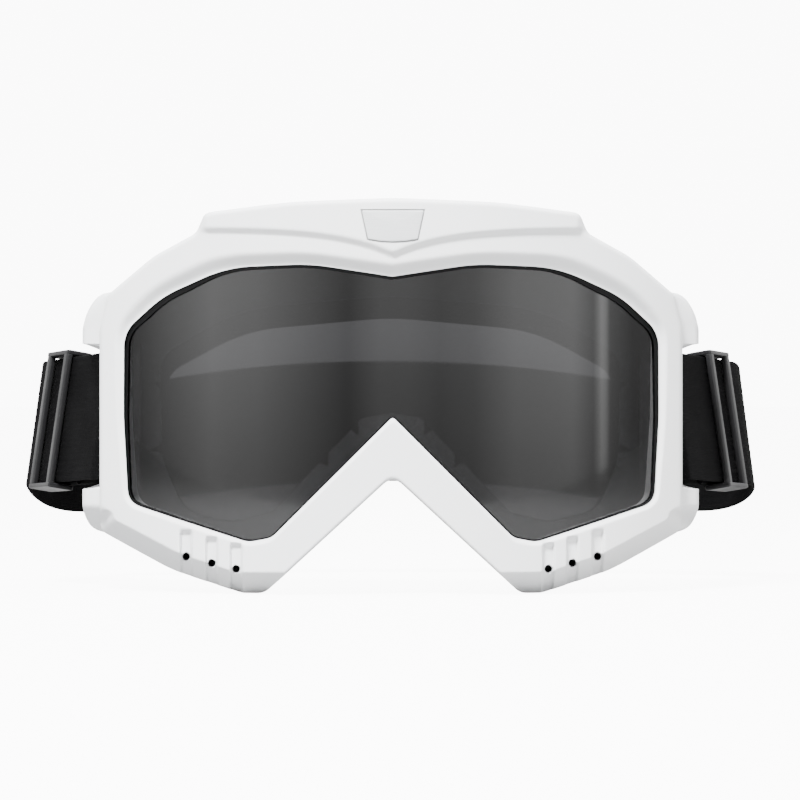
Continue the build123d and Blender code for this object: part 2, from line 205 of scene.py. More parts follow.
goggles = {
    "frontRadius": 120.0,  # the front is part of a cylinder about a vertical axis
    "faceRadius": 125.0,
    "frameDepth": 34.0,
    "height": 112.4,
}
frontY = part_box("front_frame")[0][1] / mm + 1.5
faceY = frontY + goggles["frameDepth"]
top = goggles["height"]
outerCorners = [
    (0, top, 150), (30, top - 1.1, 150), (53.5, top - 3.8, 3), (56, top - 9.5, 4), (68.5, top - 16, 25),
    (82, top - 26.8, 4), (84.5, top - 36.4, 8), (84.5, 17.2, 3), (63, 6.2, 50), (43, 0, 8),
    (36.6, 0, 5), (0, 33.8, 4),
]
windowCorners = [
    (0, top - 22.2, 1), (23.5, top - 18.6, 60), (47.3, top - 19.4, 40), (65.8, top - 27.5, 30),
    (77.2, top - 37.5, 10), (77.3, 50, 100), (75.9, 25.6, 5.5), (55.4, 19.2, 60), (41, 14.7, 8),
    (34.4, 16.0, 5), (0, 50.4, 1),
]
lowerEye = [(66.5, 38, 15), (60, 22.5, 10), (46, 19.6, 8), (34.5, 22.5, 6), (8.5, 50, 4), (0, 51.4, 3)]
flangeCorners = [(0, top - 27.1, 80), (44, top - 30.9, 50), (67, top - 44.4, 8)] + lowerEye
eyeCorners = [(0, top - 33.2, 80), (42, top - 36.9, 50), (65.5, top - 49.4, 9)] + lowerEye
foamCorners = [
    (0, top - 8.4, 100), (46, top - 10.9, 30), (66, top - 20.9, 20), (74.5, top - 33.4, 10), (74.5, 24, 10),
    (60, 12.5, 30), (43.5, 7, 7), (36.5, 7.4, 5), (0, 41.8, 4),
]
outerAnchors = [
    (0, 112), (30, 111.3), (53.3, 108.3), (56.2, 103), (68.5, 96), (82, 86), (84.5, 74), (84.5, 26),
    (83.6, 17), (63, 6.4), (43.5, 0.2), (36.5, 0.3), (0, 33),
]
windowAnchors = [
    (0, 90.2), (23.5, 93.6), (44.5, 93), (50, 91.9), (59.5, 87.8), (71.6, 80.1), (77, 72.4), (76.3, 29.5),
    (74.9, 25.4), (55.4, 19.3), (42.5, 15.6), (36.8, 15.6), (0, 50.2),
]
lowerAnchors = [(65.5, 34), (61.5, 25), (49, 20), (43.5, 20), (37.5, 21.8), (0, 51.3)]
flangeAnchors = [(0, 85), (24, 83.4), (42, 81.6), (46, 80.3), (55, 75.5), (64, 70), (67, 64)] + lowerAnchors
eyeAnchors = [(0, 79), (24, 77.3), (42, 75.4), (45, 74), (53, 69.4), (62.5, 64.5), (66, 58)] + lowerAnchors
foamAnchors = [
    (0, 104), (24, 102.8), (45, 101.2), (49, 99.6), (60, 94), (69, 87), (74.3, 76), (74.5, 28),
    (72, 20), (56, 11.5), (43.5, 7.4), (37, 7.6), (0, 41.5),
]
sampleCounts = [24, 22, 14, 18, 26, 22, 60, 18, 46, 70, 16, 90]
outer = halfOutline(outerCorners, outerAnchors, sampleCounts)
window = halfOutline(windowCorners, windowAnchors, sampleCounts)
flange = halfOutline(flangeCorners, flangeAnchors, sampleCounts)
eyeHole = halfOutline(eyeCorners, eyeAnchors, sampleCounts)
foamRim = halfOutline(foamCorners, foamAnchors, sampleCounts)


# How far back the front cylinder is at x, and that far behind it: y = front + R - sqrt(R^2 - x^2) + depth
def frontSurface(x, depth=0.0):
    radius = goggles["frontRadius"]
    return frontY + radius - np.sqrt(radius**2 - x**2) + depth


def faceSurface(x, depth=0.0):
    radius = goggles["faceRadius"] - depth
    return faceY + goggles["faceRadius"] - np.sqrt(np.maximum(radius**2 - x**2, 1))


# Points x, z with their own y, from mm to metres
def place(x, y, z):
    return np.stack((x, y, z), axis=-1) * mm


# Outline points on a cylinder that is depth mm behind the front
def onFront(spots, depth):
    return place(spots[..., 0], frontSurface(spots[..., 0], depth), spots[..., 1])


frameShape = {
    "bezelWidth": [4.2, 4.4, 5.0, 5.3, 5.6, 5.0, 3.2, 1.8, 1.6, 1.5, 1.4, 1.4, 1.3],  # at each anchor, in mm
    "bezelDepth": [2.9, 2.9, 2.9, 2.9, 2.9, 2.6, 1.8, 1.1, 0.9, 0.8, 0.8, 0.8, 0.8],
    "edgeRound": 1.3,
    "lowerBevel": (5.6, 8.6),  # how wide and how deep the slope along the lower rim is
    "lobeFrom": 34,  # x where that slope begins
    "lobeTop": 25,  # height where it has died out
    "footTop": 6.3,  # height of the break line at the inner end of each lobe
    "footTo": 46,  # x where that line ends
    "browRise": 1.5,
    "browHalf": 55.5,
    "crease": (16.4, 7.6, 16),  # drop from the top in the middle, rise to the sides, and how soon
    "plate": 9.0,
    "wall": 2.5,
    "flange": 2.4,
    "groove": (3.2, 5.8, 3.1),  # from, to, and how far out of the window
    "lugReach": 5.3,
    "lugRound": 9,
    "upperLug": (78, 86.6),  # where its rounding starts, and its top
    "lowerLug": (25.5, 16.4),
    "sideFrom": 76,  # x past which the wall is a side wall
    "bayInset": 9.5,
    "bayStart": 12.2,
    "bay": (29.6, 70.8),
    "scoops": ((44.5, 15.0, 7.0), (51.5, 16.7, 8.6), (58.9, 18.6, 10.4)),  # x, top, height of the hole
    "scoopDepth": 1.6,
    "scoopHalf": 1.95,
    "holeRadius": 1.0,
    "holeDepth": 5.0,
    "slits": ((10.6, None), (19.4, None), (None, 41.0), (None, 59.4)),  # x or z of each
    "slitDepth": 4.5,
    "slitHalf": 1.15,
    "wallSteps": [0.7, 1.8, 3.2, 4.6, 6.0, 7.6, 9.6, 11.6, 12.0, 12.35, 12.8],  # mm back from the edge
}


# Values given at the anchors, spread over the samples of the whole outline
def alongOutline(values):
    at = np.concatenate(([0], np.cumsum(sampleCounts)))
    half = np.interp(np.arange(at[-1] + 1), at, values)
    return np.concatenate((half, half[-2:0:-1]))


def outlineNormal(path):  # away from the inside of a closed clockwise outline
    along = unit(np.roll(path, -1, axis=0) - np.roll(path, 1, axis=0))
    return np.stack((-along[:, 1], along[:, 0]), axis=-1)


# How far back the front stands from the plain cylinder, as a function of the place (x, z), the distance
# in from the window and the distance in from the outer edge: a slope into the window, a rounded or
# bevelled outer edge, less the raised brow, plus the scoops and the holes
def frontRelief(x, z, fromWindow, fromEdge, bezel, bevel):
    spec = frameShape
    bezelWidth, bezelDepth = bezel
    bevelWidth, bevelDepth = bevel
    relief = bezelDepth * (1 - smooth(fromWindow / bezelWidth)) ** 1.2
    slope = np.clip(1 - fromEdge / bevelWidth, 0, 1)
    share = smooth((bevelWidth - 1.5) / 2.5)
    drop = bevelDepth * ((1 - share) * (1 - np.sqrt(1 - slope**2)) + share * slope**1.15)
    foot = np.clip(1 - z / spec["footTop"], 0, 1) ** 1.15 * smooth((spec["footTo"] - np.abs(x)) / 4)
    relief += np.maximum(drop, spec["lowerBevel"][1] * foot)
    low, rise, soon = spec["crease"]
    crease = top - low + rise * (1 - np.exp(-np.abs(x) / soon))
    relief -= spec["browRise"] * smooth((z - crease + 0.7) / 2.0) * smooth((spec["browHalf"] - np.abs(x)) / 3)
    for scoopX, scoopTop, holeZ in spec["scoops"]:
        off = np.abs(np.abs(x) - scoopX)
        relief += spec["scoopDepth"] * smooth((spec["scoopHalf"] - off) / 0.75) * smooth((scoopTop - z) / 2.0)
        relief += spec["holeDepth"] * smooth((spec["holeRadius"] + 0.12 - np.hypot(off, z - holeZ)) / 0.3)
    return relief


# How far the side wall stands out in x: wings above and below the strap, and the bay that the strap
# runs through, as a function of the height and of how far back the point is
def sideReach(x, z, back):
    spec = frameShape
    low, high = spec["bay"]
    roundTop, lugTop = spec["upperLug"]
    roundBottom, lugBottom = spec["lowerLug"]
    upper = np.maximum(z - roundTop, 0) / spec["lugRound"]
    lower = np.maximum(roundBottom - z, 0) / spec["lugRound"]
    wings = np.sqrt(np.clip(1 - upper**2, 0, 1)) * (z > high) * (z < lugTop)
    wings = wings + np.sqrt(np.clip(1 - lower**2, 0, 1)) * (z < low) * (z > lugBottom)
    out = spec["lugReach"] * wings * smooth((back - 3.0) / 4.5)
    bay = (z >= low) & (z <= high) & (back > spec["bayStart"] - 0.15)
    return np.where(np.abs(x) > spec["sideFrom"], np.where(bay, -spec["bayInset"], out) * np.sign(x), 0)


# The whole skin as one ring of sections: front face, outer wall, face flange, its back, the inner wall,
# the plate's back and the groove that holds the lens
def makeFrame():
    spec = frameShape
    rim, hole, inside = wholeOutline(outer), wholeOutline(window), wholeOutline(flange)
    rimX, rimZ = rim[:, :1], rim[:, 1:]
    holeX, holeZ = hole[:, :1], hole[:, 1:]
    reach = np.linalg.norm(rim - hole, axis=-1)[:, None]
    bezel = [alongOutline(spec[key])[:, None] for key in ("bezelWidth", "bezelDepth")]
    low = smooth((np.abs(rimX) - spec["lobeFrom"]) / 4) * smooth((spec["lobeTop"] - rimZ) / 7)
    bevel = [spec["edgeRound"] + (size - spec["edgeRound"]) * low for size in spec["lowerBevel"]]
    u = np.linspace(0, 1, 46)[None, :]
    x, z = holeX + (rimX - holeX) * u, holeZ + (rimZ - holeZ) * u
    relief = frontRelief(x, z, reach * u, reach * (1 - u), bezel, bevel)
    front = place(x, frontSurface(x) + relief, z)
    # Where the vent holes are: the material paints these spots near black, painted shade in the shallow holes
    # and the black foam behind them
    pit = np.zeros_like(x)
    for scoopX, scoopTop, pitZ in spec["scoops"]:
        pit = np.maximum(pit, smooth((1.25 - np.hypot(np.abs(x) - scoopX, z - pitZ)) / 0.3))

    # Outer wall, from the front edge back to the face side
    startY = frontSurface(rimX) + relief[:, -1:]
    steps = np.array(spec["wallSteps"])
    room = faceSurface(rimX) - startY
    spare = np.clip((room - 1.0) / steps[-1], 0.3, 1)
    rest = (room - steps[-1] * spare) * np.linspace(0.15, 1, 6)
    back = np.concatenate((steps * spare, steps[-1] * spare + rest), axis=1)
    wallX = rimX + sideReach(rimX, rimZ, back)
    wallY = startY + back
    wallY = np.where(back > room - 2, np.minimum(wallY, faceSurface(wallX[:, -1:])), wallY)
    wall = place(wallX, wallY, rimZ + 0 * back)

    # Face flange, with its slits
    slit = np.zeros(len(inside))
    for slitX, slitZ in spec["slits"]:
        if slitZ is None:
            gap = np.where(inside[:, 1] < 52, np.abs(np.abs(inside[:, 0]) - slitX), 9)
        else:
            gap = np.where(np.abs(inside[:, 0]) > 60, np.abs(inside[:, 1] - slitZ), 9)
        slit = np.maximum(slit, smooth((spec["slitHalf"] - gap) / 0.5))
    inside = inside + outlineNormal(inside) * (slit * spec["slitDepth"])[:, None]
    w = np.array([0.06, 0.3, 0.6, 0.9, 1.0])[None, :]
    faceX = wallX[:, -1:] + (inside[:, :1] - wallX[:, -1:]) * w
    face = place(faceX, faceSurface(faceX), rimZ + (inside[:, 1:] - rimZ) * w)
    innerRim = rim - outlineNormal(rim) * spec["wall"]
    low, high = spec["bay"]
    inBay = (rimZ >= low - 1) & (rimZ <= high + 1) & (np.abs(rimX) > spec["sideFrom"])
    innerX = innerRim[:, :1] - np.where(inBay, np.sign(rimX) * spec["bayInset"], 0)
    innerZ = innerRim[:, 1:]
    away = np.array([1.0, 0.7, 0.35])[None, :]
    backX = innerX + (inside[:, :1] - innerX) * away
    flangeBack = place(backX, faceSurface(backX) - spec["flange"], innerZ + (inside[:, 1:] - innerZ) * away)

    # Inner wall forward to the plate, and the plate's back to the groove
    k = np.linspace(0, 1, 5)[None, :]
    start, stop = faceSurface(innerX) - spec["flange"], frontSurface(innerX, spec["plate"])
    innerWall = place(innerX + 0 * k, start + (stop - start) * k, innerZ + 0 * k)
    k = np.array([0.35, 0.7, 1.0])[None, :]
    plateX = innerX + (holeX - innerX) * k
    plateBack = place(plateX, frontSurface(plateX, spec["plate"]), innerZ + (holeZ - innerZ) * k)
    near, far, deep = spec["groove"]
    grooved = hole + outlineNormal(hole) * deep
    lip = [(hole, far), (grooved, far), (grooved, near), (hole, near)]
    groove = np.stack([onFront(spots, depth) for spots, depth in lip], axis=1)

    sections = np.concatenate((front, wall, face, flangeBack, innerWall, plateBack, groove), axis=1)
    mark = np.zeros(sections.shape[:2])
    mark[:, : pit.shape[1]] = pit
    return makePiece("frame_shell", ringPart(sections), marks={"pit": mark}, sharp=42)


frameShell = makeFrame()
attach(frameShell, "goggles")
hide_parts("front_frame", "face_flange")
print("frame shell:", len(frameShell.data.polygons), "faces")


lensShape = {
    "front": 4.0,  # mm behind the front cylinder
    "back": 5.6,
    "grown": 2.6,  # how far the lens reaches into the groove
    "columns": 150,
    "rows": 36,
}


# A sheet between a lower and an upper line, bent round the front cylinder, closed into a shell: the
# point at shares u, v stands at z = low(x) + v (high(x) - low(x)) and at the cylinder's y for its x
def makeLens():
    rim = window + outlineNormal(wholeOutline(window))[: len(window)] * lensShape["grown"]
    widest = int(np.argmax(rim[:, 0]))
    reach = rim[widest, 0]
    x = reach * np.sin(np.linspace(-math.pi / 2, math.pi / 2, lensShape["columns"])) * 0.999
    high = np.interp(np.abs(x), np.maximum.accumulate(rim[: widest + 1, 0]), rim[: widest + 1, 1])
    lower = rim[widest:][::-1]
    low = np.interp(np.abs(x), np.maximum.accumulate(lower[:, 0]), lower[:, 1])
    v = np.linspace(0, 1, lensShape["rows"])[None, :]
    z = low[:, None] + (high - low)[:, None] * v
    xx = x[:, None] + 0 * v
    front = place(xx, frontSurface(xx, lensShape["front"]), z)
    back = place(xx, frontSurface(xx, lensShape["back"]), z)[:, ::-1]
    return makePiece("smoke_lens", tubePart(np.concatenate((front, back), axis=1)), sharp=30)


smokeLens = makeLens()
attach(smokeLens, "goggles")
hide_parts("lens")

sealShape = {
    "from": 3.25,
    "to": 3.97,
    "outside": 2.4,
    "shows": [0.9, 0.9, 1.0, 1.2, 1.7, 1.8, 1.4, 0.7, 0.7, 0.55, 0.5, 0.5, 0.5],  # at each anchor
}


# The seal is a thin band with a round inner edge
def makeSeal():
    hole = wholeOutline(window)
    normal = outlineNormal(hole)
    shows = alongOutline(sealShape["shows"])[:, None]
    near, far = sealShape["from"], sealShape["to"]
    middle, half = (near + far) / 2, (far - near) / 2
    angle = np.linspace(math.pi / 2, 1.5 * math.pi, 9)
    steps = [(sealShape["outside"], near), (sealShape["outside"], far)]
    profile = [(hole + normal * out, depth) for out, depth in steps]
    for turn in angle:
        out = half + half * math.cos(turn) - shows
        profile.append((hole + normal * out, middle + half * math.sin(turn)))
    points = [onFront(spots, depth) for spots, depth in profile]
    return makePiece("lens_gasket", ringPart(np.stack(points, axis=1)), sharp=50)


gasket = makeSeal()
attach(gasket, "goggles")
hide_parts("lens_seal")

badgeShape = {
    "topHalf": 8.75,
    "bottomHalf": 7.0,
    "top": top - 3.6,
    "bottom": top - 11.7,
    "bulge": 0.7,
    "corner": 0.5,
    "edge": 0.35,  # radius of its rounded rim
    "proud": 2.0,  # mm in front of the front cylinder
    "crown": 0.12,
    "thickness": 1.7,
}


# A rounded trapezoid whose rings shrink towards its middle while they rise: the outer rings follow a
# quarter circle at the rim, the inner ones a shallow crown
def makeBadge():
    spec = badgeShape
    upper, lower, corner = spec["topHalf"], spec["bottomHalf"], spec["corner"]
    high, low, bulge = spec["top"], spec["bottom"], spec["bulge"]
    corners = [
        (-upper, high, corner), (upper, high, corner), (lower, low, corner),
        (lower / 2, low - bulge * 0.78, 6), (0, low - bulge, 6), (-lower / 2, low - bulge * 0.78, 6),
        (-lower, low, corner),
    ]
    loop = roundedPath(corners, steps=6)
    middle = np.array([0, (spec["top"] + spec["bottom"]) / 2])
    normal = outlineNormal(loop)
    rings = [onFront(loop, spec["thickness"] - spec["proud"])]
    for turn in np.linspace(0, math.pi / 2, 6):
        inset = spec["edge"] * (1 - math.cos(turn))
        drop = spec["edge"] * (1 - math.sin(turn))
        rings.append(onFront(loop - normal * inset, drop - spec["proud"]))
    inner = loop - normal * spec["edge"]
    for share in (0.8, 0.6, 0.4, 0.2, 0.04):
        rise = spec["crown"] * (1 - share**2)
        rings.append(onFront(middle + (inner - middle) * share, -rise - spec["proud"]))
    return makePiece("brow_badge", tubePart(np.stack(rings)), sharp=60)


browBadge = makeBadge()
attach(browBadge, "goggles")
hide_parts("badge")
print("lens, gasket and badge made")

foamShape = {
    "layers": (  # piece, node, slot, from, to, bulge
        ("firm_foam_ring", "foam_firm", "foam", 0.0, 7.0, 0.55),
        ("soft_foam_ring", "foam_soft", "foam", 7.0, 12.0, 0.7),
        ("fleece_ring", "face_fleece", "fleece", 12.0, 13.0, 0.35),
    ),
    "skin": 13.0,  # where the side towards the skin is
    "roll": 0.35,
    "crown": 0.5,
    "fill": 0.85,
}


# A foam layer is a ring between the eye opening and the foam's rim. Across its thickness both sides bulge
# out by bulge x sin(pi v), and over its width its skin side is crowned by crown x sin(pi u).
def makeFoam(name, near, far, bulge):
    rim, hole = wholeOutline(foamRim), wholeOutline(eyeHole)
    rimOut, holeIn = outlineNormal(rim), -outlineNormal(hole)
    v = np.linspace(0, 1, 7)
    roll = foamShape["roll"]
    push = bulge * np.sin(math.pi * v) - bulge + roll * (1 - np.abs(2 * v - 1) ** 6) - roll
    depths = near + (far - near) * v
    across = np.linspace(0, 1, 15)[1:-1]
    rise = 0.6 * foamShape["crown"] if far == foamShape["skin"] else 0.0
    outerEdge, innerEdge = rim - rimOut * bulge, hole - holeIn * bulge
    columns = [(rim + rimOut * out, depth) for out, depth in zip(push, depths)]
    for u in across:
        columns.append((outerEdge + (innerEdge - outerEdge) * u, far + rise * (math.sin(math.pi * u) - 1)))
    columns += [(hole + holeIn * out, depth) for out, depth in zip(push[::-1], depths[::-1])]
    columns += [(innerEdge + (outerEdge - innerEdge) * u, near) for u in across]
    points = [place(p[:, 0], faceSurface(p[:, 0], depth), p[:, 1]) for p, depth in columns]
    return makePiece(name, ringPart(np.stack(points, axis=1)), sharp=60)


for pieceName, node, slotName, near, far, bulge in foamShape["layers"]:
    ring = makeFoam(pieceName, near, far, bulge)
    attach(ring, "goggles")
    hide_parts(node)

ventShape = {
    "thickness": 2.8,
    "brow": ((-48, 7.2), (-28, 4.8), (0, 4.7), (28, 4.8), (48, 7.2)),  # x and drop from the top
    "chin": ((43.4, 6.6, 3.0), (50, 9.6, 3.1), (58, 12.9, 3.1), (65.6, 15.2, 2.8)),  # x, mid z, half height
    "browReach": 47.9,
    "clear": 0.1,
}


# Strips of foam behind the vents: a soft-cornered section carried from side to side
def makeBrowFoam():
    x = np.linspace(-ventShape["browReach"], ventShape["browReach"], 70)
    drop = np.interp(x, [p[0] for p in ventShape["brow"]], [p[1] for p in ventShape["brow"]])
    half = ventShape["thickness"] / 2
    near = frontSurface(x, frameShape["plate"]) + ventShape["clear"]
    far = faceSurface(x) - frameShape["flange"] - 3 * ventShape["clear"]
    middle, reach = (near + far) / 2, (far - near) / 2
    section = softRectangle(1, 1, 28, 8)
    y = middle[:, None] + reach[:, None] * section[None, :, 0]
    z = (top - drop - half)[:, None] + half * 0.97 * section[None, :, 1]
    return makePiece("brow_vent_pad", tubePart(place(x[:, None] + 0 * y, y, z)), sharp=60)


def makeChinFoam(name, side):
    spots = np.array(ventShape["chin"])
    x = np.linspace(spots[0, 0], spots[-1, 0], 30)
    z = np.interp(x, spots[:, 0], spots[:, 1])
    half = np.interp(x, spots[:, 0], spots[:, 2])
    section = softRectangle(1, 1, 24, 8)
    thick = ventShape["thickness"] / 2
    near = frontSurface(x, frameShape["plate"])[:, None] + ventShape["clear"]
    y = near + thick + thick * 0.97 * section[None, :, 0]
    zz = z[:, None] + half[:, None] * section[None, :, 1]
    return makePiece(name, tubePart(place(side * (x[:, None] + 0 * y), y, zz)), sharp=60)


ventPads = [(makeBrowFoam(), "brow_vent_foam")]
for sideName, side in sides.items():
    ventPads.append((makeChinFoam("chin_vent_pad_" + sideName, side), "chin_vent_foam_" + sideName))
for pad, node in ventPads:
    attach(pad, "goggles")
    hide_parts(node)
print("foam made")

strap = {
    "width": 38.0,
    "thickness": 1.4,
    "post": (82.4, -33.0, 50.2),
    "leanIn": 8.0,  # degrees
    "leanBack": 6.0,
    "heading": 22.0,
    "run": 56.0,  # from the post to the end of the straight part
    "faces": (2.2, 3.6),  # inner and outer face of the webbing from the post's axis
    "swing": {"right": 28.0, "left": 7.0},
    "backSwing": 104.0,
    "backY": 89.0,
    "backHeight": 48.5,
    "uprightFrom": 0.62,
    "sag": 9.0,
    "ribs": 19,
    "ribDepth": 0.09,
    "selvedge": 0.35,
    "stretchFrom": 20.0,  # y where the webbing starts to follow the back of the loop, in mm
    "stretchTo": 70.0,
}


# The local frame of one side's strap: origin, along the run, outwards, and up the post
def strapFrame(side):
    leanIn, leanBack = math.radians(strap["leanIn"]), math.radians(strap["leanBack"])
    up = unit(np.array([-side * math.sin(leanIn), math.sin(leanBack), 1.0]))
    turn = math.radians(strap["heading"])
    heading = np.array([side * math.sin(turn), math.cos(turn), 0])
    along = unit(heading - up * (heading @ up))
    x, y, z = strap["post"]
    return np.array([side * x, y, z]), along, np.cross(up, along) * -side, up


# The loop's middle line on one side: a cubic curve (1-t)^3 a + 3(1-t)^2 t b + 3(1-t) t^2 c + t^3 d, whose
# height goes from the run's to the back's by a smooth step, less a sag of sag x sin^2(pi t)
def loopLine(sideName, t):
    side = sides[sideName]
    origin, along, outward, up = strapFrame(side)
    middle = sum(strap["faces"]) / 2
    start = origin + along * strap["run"] + outward * middle
    first = start + along * strap["swing"][sideName]
    second = np.array([side * strap["backSwing"], strap["backY"], strap["backHeight"]])
    end = np.array([0, strap["backY"], strap["backHeight"]])
    t = t[:, None]
    spots = start * (1 - t) ** 3 + first * 3 * (1 - t) ** 2 * t + second * 3 * (1 - t) * t**2 + end * t**3
    heading = (first - start) * (1 - t) ** 2 + (second - first) * 2 * (1 - t) * t + (end - second) * t**2
    settle = smooth(t / strap["uprightFrom"])
    height = start[2] * (1 - settle) + strap["backHeight"] * settle - strap["sag"] * np.sin(math.pi * t) ** 2
    spots = np.concatenate((spots[:, :2], height), axis=1)
    upright = unit(up * (1 - settle) + np.array([0, 0, 1.0]) * settle)
    across = np.cross(heading, upright) * side
    across[:, 2:] *= 1 - settle
    return spots, upright, unit(across)


# The webbing's section: a flat band with ribs on both faces and round selvedges; a across, b up
def webSection():
    half, thick = strap["width"] / 2, strap["thickness"] / 2
    count = strap["ribs"] * 5
    flat = half - strap["selvedge"]
    b = np.linspace(-flat, flat, count)
    rib = strap["ribDepth"] * np.abs(np.sin(math.pi * (b + half) / strap["width"] * strap["ribs"]))
    face = thick - strap["ribDepth"] + rib
    angle = np.linspace(0, math.pi, 7)[1:-1]
    edgeB, edgeA = flat + strap["selvedge"] * np.sin(angle), (thick - strap["ribDepth"]) * np.cos(angle)
    return np.concatenate((face, edgeA, -face[::-1], -edgeA)), np.concatenate((b, edgeB, b[::-1], -edgeB))


def webTube(spots, across, upright):
    a, b = webSection()
    sections = spots[:, None] + across[:, None] * a[None, :, None] + upright[:, None] * b[None, :, None]
    stride = np.concatenate(([0], np.cumsum(np.linalg.norm(np.diff(spots, axis=0), axis=1))))
    uv = np.stack((stride[:, None] + 0 * b[None], b[None] + 0 * stride[:, None]), axis=-1)
    return tubePart(sections * mm, uv)


# One side's straight run, from the far side of the post round it and back through the slider
def runLine(side):
    origin, along, outward, up = strapFrame(side)
    middle = sum(strap["faces"]) / 2
    turn = np.linspace(math.pi, 0, 26)[:, None]
    wrap = origin - along * middle * np.sin(turn) + outward * middle * np.cos(turn)
    wrapAcross = -along * np.sin(turn) + outward * np.cos(turn)
    reach = np.linspace(0, strap["run"], 40)[1:, None]
    straight = origin + along * reach + outward * middle
    spots = np.concatenate((wrap, straight))
    across = np.concatenate((wrapAcross, np.repeat(outward[None], len(straight), axis=0)))
    return spots, across, np.repeat(up[None], len(spots), axis=0)


def makeWebbing():
    t = np.linspace(0, 1, 150)[1:]
    lines = {}
    for sideName, side in sides.items():
        spots, across, upright = runLine(side)
        loopSpots, loopUp, loopAcross = loopLine(sideName, t)
        lines[sideName] = (
            np.concatenate((spots, loopSpots)),
            np.concatenate((across, loopAcross)),
            np.concatenate((upright, loopUp)),
        )
    whole = [np.concatenate((r, l[-2::-1])) for r, l in zip(lines["right"], lines["left"])]
    return makePiece("elastic_webbing", webTube(*whole), sharp=50)


webbing = makeWebbing()
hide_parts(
    "strap_rear", "strap_run_right", "strap_run_left", "strap_side_right", "strap_side_left",
)
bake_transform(webbing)
print("webbing:", len(webbing.data.polygons), "faces")

slider = {
    "at": 38.0,  # along the run
    "length": 18.0,
    "bar": 3.2,
    "centreBar": 3.6,
    "outerBars": (3.9, 5.9),  # from and to, outwards from the post's axis
    "centreBars": (-2.1, -0.5),
    "endHalf": 19.3,  # inner face of the end plates, up and down
    "endPlate": 1.5,
    "fold": 15.0,  # from the middle of the slider to the end of the folded webbing
}


def localPoints(side, u, outwardShift, up):  # along the run, outwards, up the post, to metres
    origin, along, outward, upAxis = strapFrame(side)
    return (origin + along * u[..., None] + outward * outwardShift[..., None] + upAxis * up[..., None]) * mm


# A bar with a soft-cornered section; both ends shrink over their last half millimetre by a quarter circle
def softBar(side, centre, half, axis, power=4.0):
    section = softRectangle(1, 1, 32, power)
    turn = np.linspace(0, math.pi / 2, 6)
    lead = min(0.5, half[axis] * 0.3)
    ends = half[axis] - lead + lead * np.sin(turn)
    at = np.concatenate((-ends[::-1], np.linspace(-ends[0], ends[0], 12)[1:-1], ends))
    shrinkEnd = lead * (1 - np.cos(turn))
    shrink = np.concatenate((shrinkEnd[::-1], np.zeros(10), shrinkEnd))
    others = [k for k in range(3) if k != axis]
    grid = [None, None, None]
    grid[axis] = centre[axis] + at[:, None] + 0 * section[None, :, 0]
    for k, other in enumerate(others):
        grid[other] = centre[other] + (half[other] - shrink)[:, None] * section[None, :, k]
    return tubePart(localPoints(side, *grid))


def makeSlider(name, side):
    spec = slider
    mid, reach = spec["at"], spec["length"] / 2
    low, high = spec["centreBars"][0], spec["outerBars"][1]
    barUp = spec["endHalf"] + 0.4
    parts = []
    for shift in (-1, 1):
        spot = (mid + shift * (reach - spec["bar"] / 2), sum(spec["outerBars"]) / 2, 0)
        parts.append(softBar(side, spot, (spec["bar"] / 2, 1.0, barUp), 2))
        plate = (mid, (low + high) / 2, shift * (spec["endHalf"] + spec["endPlate"] / 2))
        parts.append(softBar(side, plate, (reach, (high - low) / 2, spec["endPlate"] / 2), 0, 8.0))
    spot = (mid, sum(spec["centreBars"]) / 2, 0)
    parts.append(softBar(side, spot, (spec["centreBar"] / 2, 0.8, barUp), 2))
    return makePiece(name, *parts, sharp=50)


# The inner run: from the post to the slider, round its centre bar and back on itself
def innerLine(side):
    spec = slider
    middle = sum(strap["faces"]) / 2
    high = spec["centreBars"][1] + 0.2 + strap["thickness"] / 2
    bend = spec["at"] + spec["centreBar"] / 2 + 0.2
    out = np.linspace(0.4, bend, 44)
    turn = np.linspace(-math.pi / 2, math.pi / 2, 20)[1:-1]
    radius = (high + middle) / 2
    backTo = spec["at"] - spec["centreBar"] / 2
    over = np.linspace(bend, backTo, 5)
    flapAt = backTo - np.linspace(0, 5.0, 8)[1:]
    flapTo = spec["at"] - spec["fold"]
    flat = np.linspace(flapAt[-1], flapTo, 10)[1:]
    low = -middle + strap["thickness"] + 0.02
    u = np.concatenate((out, bend + radius * np.cos(turn), over, flapAt, flat))
    a = np.concatenate((
        np.full(len(out), -middle), (high - middle) / 2 + radius * np.sin(turn), np.full(5, high),
        high + (low - high) * smooth(np.linspace(0, 1, 8)[1:]), np.full(9, low),
    ))
    origin, along, outward, up = strapFrame(side)
    spots = origin + along * u[:, None] + outward * a[:, None]
    heading = unit(np.gradient(spots, axis=0))
    across = unit(np.cross(heading, up)) * side
    return spots, across, np.repeat(up[None], len(spots), axis=0)


tack = {"height": 29.0, "width": 4.4, "stitch": 2.2, "thread": 0.32, "at": 4.0}


